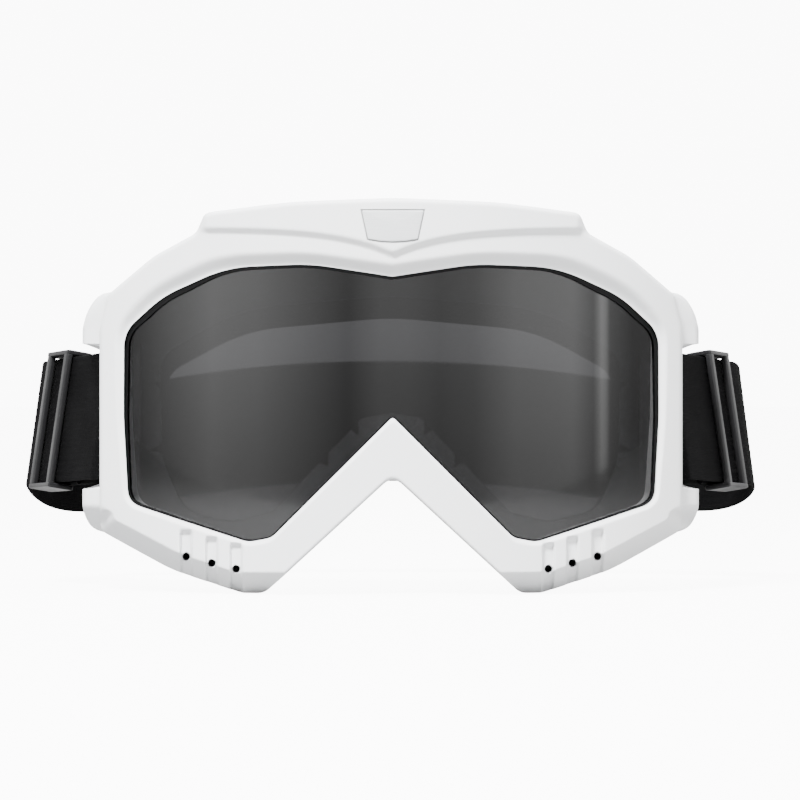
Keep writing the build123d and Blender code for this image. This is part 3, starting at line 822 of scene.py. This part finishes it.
# Box stitching: short threads along the edges of an upright box and along its diagonals, each a small
# arch that dips into the webbing at both ends
def makeTack(name, side):
    outFace = -(strap["faces"][1] + 0.05)
    mid = slider["at"] - slider["fold"] + tack["at"]
    halfU, halfV = tack["width"] / 2, tack["height"] / 2
    lines = [((-halfU, -halfV), (-halfU, halfV)), ((halfU, -halfV), (halfU, halfV)),
             ((-halfU, -halfV), (halfU, -halfV)), ((-halfU, halfV), (halfU, halfV)),
             ((-halfU, -halfV), (halfU, halfV)), ((halfU, -halfV), (-halfU, halfV))]
    parts = []
    ring = np.linspace(0, 2 * math.pi, 8, endpoint=False)
    for start, end in lines:
        start, end = np.array(start), np.array(end)
        count = max(2, round(float(np.linalg.norm(end - start)) / tack["stitch"]))
        for k in range(count):
            t = (k + np.linspace(0.06, 0.94, 7)) / count
            arch = np.sin(np.linspace(0, math.pi, 7))
            line = start + (end - start) * t[:, None]
            heading = unit(end - start)
            thick = tack["thread"] / 2 * (0.55 + 0.45 * arch)
            aside = np.array([-heading[1], heading[0]])
            u = mid + line[:, :1] + aside[0] * thick[:, None] * np.cos(ring)
            v = line[:, 1:] + aside[1] * thick[:, None] * np.cos(ring)
            w = outFace - 0.16 * arch[:, None] + thick[:, None] * np.sin(ring)
            parts.append(tubePart(localPoints(side, u, w, v)))
    return makePiece(name, *parts, sharp=80)


for sideName, side in sides.items():
    origin, along, outward, up = strapFrame(side)
    hardware = makeSlider("strap_slider_" + sideName, side)
    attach(hardware, "adjuster_" + sideName)
    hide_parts("slider_" + sideName)
    spots, across, upright = innerLine(side)
    inner = makePiece("inner_webbing_" + sideName, webTube(spots, across, upright), sharp=50)
    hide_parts("strap_return_" + sideName)
    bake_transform(inner)
    stitches = makeTack("tack_stitches_" + sideName, side)
    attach(stitches, "adjuster_" + sideName)
    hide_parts("strap_tack_" + sideName)
print("sliders, inner runs and stitches made")


# A node group that every material may use: sockets are (name, type, value), and fill makes its nodes
def nodeGroup(name, inputs, outputs, fill):
    tree = bpy.data.node_groups.new(name, "ShaderNodeTree")
    for label, kind, value in inputs:
        socket = tree.interface.new_socket(label, in_out="INPUT", socket_type="NodeSocket" + kind)
        if value is not None:
            socket.default_value = value
    for label, kind in outputs:
        tree.interface.new_socket(label, in_out="OUTPUT", socket_type="NodeSocket" + kind)
    start, end = tree.nodes.new("NodeGroupInput"), tree.nodes.new("NodeGroupOutput")
    fill(Wiring(tree), start.outputs, end.inputs)
    return tree


# Short ways to add nodes to a tree; an input may be a number, a colour or another node's output
class Wiring:
    def __init__(self, tree):
        self.tree = tree

    def feed(self, socket, value):
        if isinstance(value, bpy.types.NodeSocket):
            self.tree.links.new(value, socket)
        elif value is not None:
            socket.default_value = value

    def node(self, kind, settings=None, **inputs):
        made = self.tree.nodes.new("ShaderNode" + kind)
        for label, value in (settings or {}).items():
            setattr(made, label, value)
        for label, value in inputs.items():
            self.feed(made.inputs[label], value)
        return made

    def math(self, operation, a, b=None, c=None, clamp=False):
        made = self.node("Math", {"operation": operation, "use_clamp": clamp})
        for socket, value in zip(made.inputs, (a, b, c)):
            self.feed(socket, value)
        return made.outputs[0]

    def times(self, a, b):
        return self.math("MULTIPLY", a, b)

    def plus(self, a, b, clamp=False):
        return self.math("ADD", a, b, clamp=clamp)

    def minus(self, a, b):
        return self.math("SUBTRACT", a, b)

    def ramp(self, value, low, high, toLow=0.0, toHigh=1.0, soft=True):
        made = self.node("MapRange", {"interpolation_type": "SMOOTHSTEP" if soft else "LINEAR"})
        for socket, number in zip(made.inputs[:5], (value, low, high, toLow, toHigh)):
            self.feed(socket, number)
        return made.outputs[0]

    def mix(self, share, a, b, blend="MIX"):
        made = self.node("Mix", {"data_type": "RGBA", "blend_type": blend})
        self.feed(made.inputs[0], share)
        self.feed(made.inputs[6], a)
        self.feed(made.inputs[7], b)
        return made.outputs[2]

    def noise(self, place, scale, detail=4.0, rough=0.55):
        return self.node("TexNoise", Vector=place, Scale=scale, Detail=detail, Roughness=rough).outputs[0]

    def stretched(self, place, scale):
        return self.node("Mapping", Vector=place, Scale=scale).outputs[0]

    def group(self, tree, **inputs):
        made = self.tree.nodes.new("ShaderNodeGroup")
        made.node_tree = tree
        for label, value in inputs.items():
            self.feed(made.inputs[label], value)
        return made.outputs

    def bump(self, height, distance, strength=1.0):
        return self.node("Bump", Height=height, Distance=distance, Strength=strength).outputs[0]

    # What changes over the surface goes to the material's Principled shader
    def dress(self, colour, rough=None, normal=None):
        shader = self.tree.nodes["Principled BSDF"].inputs
        self.feed(shader["Base Color"], colour)
        self.feed(shader["Roughness"], rough)
        self.feed(shader["Normal"], normal)


# Fine moulded grain: two sizes of noise added, and a slow cloud that varies the gloss
def fillGrain(w, given, out):
    fine = w.noise(given["Place"], given["Scale"], 3.0)
    coarse = w.noise(given["Place"], w.times(given["Scale"], 0.23), 2.0)
    w.feed(out["Height"], w.plus(fine, w.times(coarse, 0.6)))
    cloud = w.noise(given["Place"], 34.0, 5.0)
    w.feed(out["Gloss"], w.ramp(cloud, 0.3, 0.7, -1.0, 1.0))


# Wear and painted shade: edges that stick out are polished, and hollows give a mask for painted shade; both
# come from how the surface bends
def fillWearAndShade(w, given, out):
    bend = w.node("NewGeometry").outputs["Pointiness"]
    broken = w.noise(given["Place"], 210.0, 4.0)
    edge = w.ramp(bend, 0.51, 0.58)
    w.feed(out["Edge"], w.times(edge, w.ramp(broken, 0.35, 0.65)))
    # Painted shade: a mask that is high where the surface bends inwards, for darkening hollows
    hollowShade = w.ramp(bend, 0.49, 0.42)
    w.feed(out["Hollow"], w.times(hollowShade, w.ramp(broken, 0.2, 0.7, 0.4, 1.0)))


# Dust: soft specks and a thin film that lies on faces turned up
def fillDust(w, given, out):
    up = w.node("SeparateXYZ", Vector=w.node("NewGeometry").outputs["Normal"]).outputs[2]
    film = w.times(w.ramp(up, 0.2, 1.0), w.ramp(w.noise(given["Place"], 60.0, 6.0), 0.4, 0.75))
    specks = w.node("TexVoronoi", Vector=given["Place"], Scale=given["Specks"]).outputs["Distance"]
    patches = w.ramp(w.noise(given["Place"], 90.0, 2.0), 0.56, 0.66)
    speck = w.times(w.ramp(specks, 0.10, 0.04), patches)
    w.feed(out["Mask"], w.plus(w.times(film, 0.5), speck, clamp=True))


# Weave: threads run both ways, so the height is the larger of two rounded waves, each broken up where
# the other passes over it; Shade is a painted highlight, lighter where the threads stand high
def fillWeave(w, given, out):
    split = w.node("SeparateXYZ", Vector=given["Place"])
    u = w.times(split.outputs[0], given["Along"])
    v = w.times(split.outputs[1], given["Across"])
    waveU, waveV, slowU, slowV = (w.math("SINE", turn) for turn in (u, v, w.times(u, 0.5), w.times(v, 0.5)))
    swap = w.ramp(w.times(slowU, slowV), -0.3, 0.3)
    high = w.plus(w.times(w.math("ABSOLUTE", waveU), swap),
                  w.times(w.math("ABSOLUTE", waveV), w.minus(1.0, swap)))
    hair = w.noise(given["Place"], given["Hair"], 3.0)
    w.feed(out["Height"], w.plus(high, w.times(hair, 0.35)))
    w.feed(out["Shade"], w.ramp(w.plus(high, w.times(hair, 0.5)), 0.2, 1.3))


# Open-cell foam: rounded cells with dark pores where three cells meet
def fillFoam(w, given, out):
    cells = w.node("TexVoronoi", {"feature": "SMOOTH_F1"}, Vector=given["Place"], Scale=given["Cells"])
    pores = w.node("TexVoronoi", Vector=given["Place"], Scale=w.times(given["Cells"], 0.55))
    pore = w.ramp(pores.outputs["Distance"], 0.36, 0.12)
    rough = w.noise(given["Place"], w.times(given["Cells"], 2.1), 4.0)
    body = w.minus(w.plus(cells.outputs["Distance"], w.times(rough, 0.5)), pore)
    w.feed(out["Height"], body)
    w.feed(out["Pore"], pore)


placeIn = ("Place", "Vector", None)
grainGroup = nodeGroup(
    "moulded grain", [placeIn, ("Scale", "Float", 2600.0)], [("Height", "Float"), ("Gloss", "Float")],
    fillGrain,
)
wearAndShadeGroup = nodeGroup("edge wear and hollow shade", [placeIn], [("Edge", "Float"), ("Hollow", "Float")], fillWearAndShade)
dustGroup = nodeGroup("dust", [placeIn, ("Specks", "Float", 320.0)], [("Mask", "Float")], fillDust)
weaveGroup = nodeGroup(
    "weave", [placeIn, ("Along", "Float", 4.0), ("Across", "Float", 4.0), ("Hair", "Float", 6.0)],
    [("Height", "Float"), ("Shade", "Float")], fillWeave,
)
foamGroup = nodeGroup(
    "foam cells", [placeIn, ("Cells", "Float", 900.0)], [("Height", "Float"), ("Pore", "Float")], fillFoam,
)


# A material with one Principled shader whose fixed numbers stand on its own sockets
def newMaterial(name, **fixed):
    material = bpy.data.materials.new(name)
    material.use_nodes = True
    w = Wiring(material.node_tree)
    for label, value in fixed.items():
        w.tree.nodes["Principled BSDF"].inputs[label.replace("_", " ")].default_value = value
    return material, w, w.node("TexCoord").outputs["Object"]


looks = {
    "frame": {
        "colour": (0.80, 0.815, 0.83, 1), "cloud": (0.83, 0.835, 0.84, 1), "dust": (0.60, 0.58, 0.54, 1),
        "holeAndShadowDark": (0.006, 0.006, 0.006, 1), "roughness": 0.36, "grain": 0.00002,
    },
    "lens": {
        "colour": (0.030, 0.030, 0.032, 1), "smear": (0.025, 0.025, 0.026, 1), "roughness": 0.03,
        "shadow": 0.36,  # how much light it lets through to the inside
    },
    "rubber": {"colour": (0.003, 0.003, 0.0032, 1), "dust": (0.015, 0.015, 0.015, 1), "roughness": 0.5},
    "badge": {
        "colour": (0.70, 0.73, 0.74, 1), "streak": (0.80, 0.81, 0.82, 1), "edge": (0.9, 0.9, 0.9, 1),
        "roughness": 0.34, "brush": 0.10,
    },
    "foam": {"colour": (0.011, 0.011, 0.012, 1), "pore": (0.002, 0.002, 0.002, 1), "cells": 1150.0},
    "vent": {"colour": (0.012, 0.012, 0.013, 1), "pore": (0.004, 0.004, 0.004, 1), "cells": 620.0},
    "fleece": {"colour": (0.006, 0.006, 0.0065, 1), "highlightAndCloudColour": (0.018, 0.018, 0.019, 1)},
    "webbing": {"colour": (0.0004, 0.0004, 0.0005, 1), "highlightAndCloudColour": (0.0040, 0.0040, 0.0042, 1)},
    "thread": {"colour": (0.008, 0.008, 0.009, 1), "highlightAndCloudColour": (0.03, 0.03, 0.032, 1)},
    "slider": {"colour": (0.009, 0.009, 0.0095, 1), "edge": (0.028, 0.028, 0.029, 1), "roughness": 0.42},
}


# How far a place lies outside the badge's outline: the most of its distances past the sides, the top and
# the bowed bottom edge, in metres
def outsideBadge(w, spot):
    spec = badgeShape
    low, high = spec["bottomHalf"] * mm, spec["topHalf"] * mm
    split = w.node("SeparateXYZ", Vector=spot).outputs
    slope = (high - low) / ((spec["top"] - spec["bottom"]) * mm)
    reach = w.math("MULTIPLY_ADD", w.minus(split[2], spec["bottom"] * mm), slope, low)
    aside = w.minus(w.math("ABSOLUTE", split[0]), reach)
    above = w.minus(split[2], spec["top"] * mm)
    bow = w.times(w.math("POWER", w.times(split[0], 1 / low), 2.0), spec["bulge"] * mm)
    below = w.minus(w.plus(bow, (spec["bottom"] - spec["bulge"]) * mm), split[2])
    return w.math("MAXIMUM", aside, w.math("MAXIMUM", above, below)), split[1]


# White moulded plastic: fine grain, dust, cleaner on its edges, painted shade in its hollows, and vent holes
# painted dark. The badge's pocket is a painted shadow: a dark line where the point's distance from the
# badge's outline is small.
def makeFrameMaterial():
    look = looks["frame"]
    material, w, spot = newMaterial("white moulded plastic", IOR=1.48, Specular_IOR_Level=0.5)
    grain = w.group(grainGroup, Place=spot, Scale=2600.0)
    wearAndShade = w.group(wearAndShadeGroup, Place=spot)
    dust = w.group(dustGroup, Place=spot, Specks=260.0)
    tone = w.mix(w.ramp(w.noise(spot, 18.0, 3.0), 0.3, 0.7), look["colour"], look["cloud"])
    tone = w.mix(w.times(dust["Mask"], 0.16), tone, look["dust"])
    # Painted shade: the surface is darkened in its hollows, towards the dust colour
    tone = w.mix(w.times(wearAndShade["Hollow"], 0.30), tone, look["dust"])
    # Painted shadow: a thin dark line round the badge, where its pocket's gap is
    away, depth = outsideBadge(w, spot)
    front = w.ramp(depth, (frontY + 12) * mm, (frontY + 10) * mm)
    gap = w.times(w.ramp(away, 0.00046, 0.00018), front)
    # Vent holes painted near black: painted shade inside the shallow holes, and the black vent foam behind
    # them
    holes = w.node("Attribute", {"attribute_name": "pit"}).outputs["Fac"]
    holeAndShadowDark = w.math("MAXIMUM", w.times(gap, 0.72), holes)
    rough = w.math("MULTIPLY_ADD", grain["Gloss"], 0.05, look["roughness"])
    rough = w.minus(rough, w.times(wearAndShade["Edge"], 0.08))
    rough = w.plus(rough, w.times(dust["Mask"], 0.2), clamp=True)
    dent = w.minus(grain["Height"], w.times(gap, 12.0))
    w.dress(w.mix(holeAndShadowDark, tone, look["holeAndShadowDark"]), rough, w.bump(dent, look["grain"]))
    return material


# Smoke lens: tinted clear plastic with faint smears; it lets part of the light through to the inside
def makeLensMaterial():
    look = looks["lens"]
    clear = {"Transmission_Weight": 1.0, "IOR": 1.585, "Coat_Weight": 0.35, "Coat_Roughness": 0.02}
    material, w, spot = newMaterial("smoke lens", **clear)
    dust = w.group(dustGroup, Place=spot, Specks=420.0)
    smear = w.ramp(w.noise(w.stretched(spot, (40.0, 40.0, 14.0)), 1.0, 6.0), 0.35, 0.75)
    rough = w.math("MULTIPLY_ADD", smear, 0.03, look["roughness"])
    rough = w.plus(rough, w.times(dust["Mask"], 0.12))
    tone = w.mix(w.times(smear, 0.25), look["colour"], look["smear"])
    w.dress(tone, rough, w.bump(w.noise(spot, 25.0, 1.0), 0.00003))
    share = look["shadow"]
    veil = w.node("BsdfTransparent", Color=(share, share, share, 1)).outputs[0]
    pick = w.node("MixShader")
    chosen = (w.node("LightPath").outputs["Is Shadow Ray"], w.tree.nodes["Principled BSDF"].outputs[0], veil)
    for socket, value in zip(pick.inputs, chosen):
        w.feed(socket, value)
    w.feed(w.tree.nodes["Material Output"].inputs["Surface"], pick.outputs[0])
    return material


def makeRubberMaterial():
    look = looks["rubber"]
    material, w, spot = newMaterial("black rubber seal", Specular_IOR_Level=0.12)
    grain = w.group(grainGroup, Place=spot, Scale=1800.0)
    dust = w.group(dustGroup, Place=spot, Specks=500.0)
    tone = w.mix(w.times(dust["Mask"], 0.3), look["colour"], look["dust"])
    rough = w.math("MULTIPLY_ADD", grain["Gloss"], 0.1, look["roughness"])
    w.dress(tone, rough, w.bump(grain["Height"], 0.00003))
    return material


# Brushed plate: noise drawn out sideways, so its lines run across the badge
def makeBadgeMaterial():
    look = looks["badge"]
    plate = {"Metallic": 0.3, "Coat_Weight": 0.2, "Coat_Roughness": 0.15}
    material, w, spot = newMaterial("brushed silver plate", **plate)
    lines = w.noise(w.stretched(spot, (120.0, 400.0, 5200.0)), 1.0, 3.0)
    wearAndShade = w.group(wearAndShadeGroup, Place=spot)
    tone = w.mix(w.ramp(lines, 0.3, 0.7), look["colour"], look["streak"])
    tone = w.mix(w.times(wearAndShade["Edge"], 0.4), tone, look["edge"])
    w.dress(tone, w.math("MULTIPLY_ADD", lines, look["brush"], look["roughness"]), w.bump(lines, 0.000008))
    return material


# Foam: open cells, lighter and darker in slow clouds
def makeFoamMaterial(name, look):
    material, w, spot = newMaterial(name, Roughness=0.95, Sheen_Weight=0.03, Specular_IOR_Level=0.08)
    cells = w.group(foamGroup, Place=spot, Cells=look["cells"])
    cloud = w.ramp(w.noise(spot, 45.0, 4.0), 0.3, 0.7, 0.75, 1.25)
    shade = w.node("CombineColor", Red=cloud, Green=cloud, Blue=cloud).outputs[0]
    tone = w.mix(1.0, w.mix(cells["Pore"], look["colour"], look["pore"]), shade, "MULTIPLY")
    w.dress(tone, normal=w.bump(cells["Height"], 0.00035, 0.8))
    return material


# Woven band: its own UV map holds millimetres along and across the band
def makeWovenMaterial(name, look, source, along, across, depth, hair=6.0, **fixed):
    material, w, spot = newMaterial(name, Roughness=0.85, **fixed)
    if source == "UV":
        thread = w.node("UVMap", {"uv_map": "along"}).outputs[0]
    else:  # turned, so that the threads run along X and Z on faces that look back
        thread = w.node("Mapping", Vector=spot, Rotation=(math.pi / 2, 0, 0)).outputs[0]
    weave = w.group(weaveGroup, Place=thread, Along=along, Across=across, Hair=hair)
    cloud = w.ramp(w.noise(spot, 70.0, 4.0), 0.35, 0.7, 0.0, 0.35)
    # Painted highlight: raised threads are coloured lighter by the weave's Shade, plus random lighter clouds
    threadHighlightAndCloud = w.plus(w.times(weave["Shade"], 0.8), cloud, clamp=True)
    rough = w.ramp(weave["Shade"], 0.0, 1.0, 0.78, 0.92)
    w.dress(w.mix(threadHighlightAndCloud, look["colour"], look["highlightAndCloudColour"]), rough, w.bump(weave["Height"], depth, 0.9))
    return material


def makeSliderMaterial():
    look = looks["slider"]
    material, w, spot = newMaterial("grey nylon slider", Specular_IOR_Level=0.3)
    grain = w.group(grainGroup, Place=spot, Scale=2100.0)
    wearAndShade = w.group(wearAndShadeGroup, Place=spot)
    dust = w.group(dustGroup, Place=spot, Specks=600.0)
    tone = w.mix(w.times(wearAndShade["Edge"], 0.5), look["colour"], look["edge"])
    tone = w.mix(w.times(dust["Mask"], 0.3), tone, look["edge"])
    rough = w.math("MULTIPLY_ADD", grain["Gloss"], 0.08, look["roughness"])
    w.dress(tone, rough, w.bump(grain["Height"], 0.00003))
    return material


frameMaterial, lensMaterial = makeFrameMaterial(), makeLensMaterial()
rubberMaterial, badgeMaterial = makeRubberMaterial(), makeBadgeMaterial()
sliderMaterial = makeSliderMaterial()
foamMaterial = makeFoamMaterial("black face foam", looks["foam"])
ventMaterial = makeFoamMaterial("open vent foam", looks["vent"])
fleeceMaterial = makeWovenMaterial(
    "black fleece", looks["fleece"], "Object", 5200.0, 5200.0, 0.0003, 2400.0, Sheen_Weight=0.06,
)
webMaterial = makeWovenMaterial(
    "elastic webbing", looks["webbing"], "UV", 7.0, 6.2, 0.00012, Specular_IOR_Level=0.05,
)
threadMaterial = makeWovenMaterial(
    "nylon thread", looks["thread"], "Object", 9000.0, 9000.0, 0.00005, 4000.0, Coat_Weight=0.1,
)
wearing = {
    "frame_shell": frameMaterial, "smoke_lens": lensMaterial, "lens_gasket": rubberMaterial,
    "brow_badge": badgeMaterial, "firm_foam_ring": foamMaterial, "soft_foam_ring": foamMaterial,
    "fleece_ring": fleeceMaterial, "brow_vent_pad": ventMaterial, "elastic_webbing": webMaterial,
}
for sideName in sides:
    wearing["chin_vent_pad_" + sideName] = ventMaterial
    wearing["inner_webbing_" + sideName] = webMaterial
    wearing["strap_slider_" + sideName] = sliderMaterial
    wearing["tack_stitches_" + sideName] = threadMaterial
for pieceName, material in wearing.items():
    bpy.data.objects[pieceName].data.materials.append(material)
print("materials made:", len(bpy.data.materials))

studio = {
    "azimuth": -0.8,  # degrees from straight ahead
    "distance": 1500,  # mm
    "aim": (2.6, 55.2),  # x and z of the picture's middle, mm
    "depth": 40,  # how far behind the front the aimed plane is
    "across": 232.6,  # mm that the picture spans there
    "floor": 40.0,  # how far it reaches to the sides and behind, m
    "floorFront": 1.2,  # how far it reaches in front, m
    "white": 10.5,  # what the camera sees behind the object
    "floorGlow": 9.6,
    "floorColours": ((0.26, 0.26, 0.26, 1), (0.28, 0.28, 0.28, 1)),
    "surround": 1.1,
    "mirrored": 1.6,  # how bright the room is in reflections
    "bands": (  # turn from straight ahead in degrees, and brightness there, for reflections
        (-180, 1.0), (-95, 0.9), (-84, 0.25), (-76, 0.42), (-62, 0.85), (-52, 1.15), (-38, 1.0), (-20, 0.55),
        (-12, 0.36), (-3, 0.62), (5, 0.62), (14, 0.5), (24, 0.6), (36, 1.0), (54, 1.15), (61, 0.7), (63, 1.6),
        (64, 1.7), (66, 0.6), (74, 0.32), (86, 0.3), (100, 1.0), (180, 1.0),
    ),
    "lamps": (  # name, place, size, watts
        ("key", (-0.45, -1.10, 1.45), 0.4, 165.0),
        ("fill", (0.95, -1.05, 0.60), 0.8, 12.0),
        ("top", (0.1, 0.0, 1.5), 0.9, 36.0),
    ),
}


def aimAt(thing, target):
    line = Vector(target) - thing.location
    thing.rotation_euler = line.to_track_quat("-Z", "Y").to_euler()


def makeCamera():
    turn = math.radians(studio["azimuth"])
    aim = Vector((studio["aim"][0], frontY + studio["depth"], studio["aim"][1])) * mm
    camera = bpy.data.objects.new("camera", bpy.data.cameras.new("camera"))
    bpy.context.scene.collection.objects.link(camera)
    camera.location = aim + Vector((math.sin(turn), -math.cos(turn), 0)) * studio["distance"] * mm
    aimAt(camera, aim)
    camera.data.sensor_width = 36
    camera.data.lens = 36 * studio["distance"] / studio["across"]
    camera.data.clip_start, camera.data.clip_end = 0.05, 50
    bpy.context.scene.camera = camera


def makeLamps():
    for name, spot, size, watts in studio["lamps"]:
        lamp = bpy.data.objects.new(name, bpy.data.lights.new(name, "AREA"))
        bpy.context.scene.collection.objects.link(lamp)
        lamp.data.size, lamp.data.energy = size, watts
        lamp.location = spot
        aimAt(lamp, (0, 0, 0.05))
        lamp.visible_glossy = False


# A white room: even light for matt surfaces, and for reflections a brightness that depends on the turn
# atan2(x, -y) of the direction, read from a ramp
def makeWorld():
    world = bpy.data.worlds.new("white studio")
    bpy.context.scene.world = world
    world.use_nodes = True
    w = Wiring(world.node_tree)
    split = w.node("SeparateXYZ", Vector=w.node("TexCoord").outputs["Generated"]).outputs
    turn = w.math("ARCTAN2", split[0], w.times(split[1], -1.0))
    share = w.ramp(turn, -math.pi, math.pi, soft=False)
    bands = w.node("ValToRGB", Fac=share)
    points = bands.color_ramp.elements
    for degrees, bright in studio["bands"][1:-1]:
        points.new((degrees + 180) / 360)
    for point, (degrees, bright) in zip(points, studio["bands"]):
        point.position = (degrees + 180) / 360
        point.color = (bright / 3, bright / 3, bright / 3, 1)
    rays = w.node("LightPath").outputs
    lift = w.ramp(split[2], -0.028, 0.028, 0.62, 1.25)
    glow = w.times(w.times(bands.outputs[0], lift), 3.0 * studio["mirrored"])
    level = w.node("Mix", A=studio["surround"])
    w.feed(level.inputs[0], rays["Is Glossy Ray"])
    w.feed(level.inputs[3], glow)
    seen = w.node("Mix", B=studio["white"])
    w.feed(seen.inputs[0], rays["Is Camera Ray"])
    w.feed(seen.inputs[2], level.outputs[0])
    w.feed(world.node_tree.nodes["Background"].inputs["Strength"], seen.outputs[0])
    world.node_tree.nodes["Background"].inputs["Color"].default_value = (1, 1, 1, 1)


def makeFloor():
    half = studio["floor"]
    across, along = np.linspace(-half, half, 9), np.linspace(-studio["floorFront"], half, 9)
    x, y = np.meshgrid(across, along, indexing="ij")
    points = np.stack((x, y, 0 * x - 0.0002), axis=-1).reshape(-1, 3)
    mesh = bpy.data.meshes.new("floor")
    mesh.from_pydata(points.tolist(), [], gridQuads(9, 9, False, False).tolist())
    floor = bpy.data.objects.new("floor", mesh)
    bpy.context.scene.collection.objects.link(floor)
    glow = {"Emission_Strength": studio["floorGlow"]}
    material, w, spot = newMaterial("pale floor", Roughness=0.7, Specular_IOR_Level=0.2, **glow)
    cloud = w.ramp(w.noise(spot, 6.0, 3.0), 0.3, 0.7)
    w.dress(w.mix(cloud, *studio["floorColours"]))
    lit = w.tree.nodes["Principled BSDF"].inputs["Emission Color"]
    w.feed(lit, w.node("LightPath").outputs["Is Camera Ray"])
    mesh.materials.append(material)


makeCamera()
makeLamps()
makeWorld()
makeFloor()
print("stage, lights and camera made")
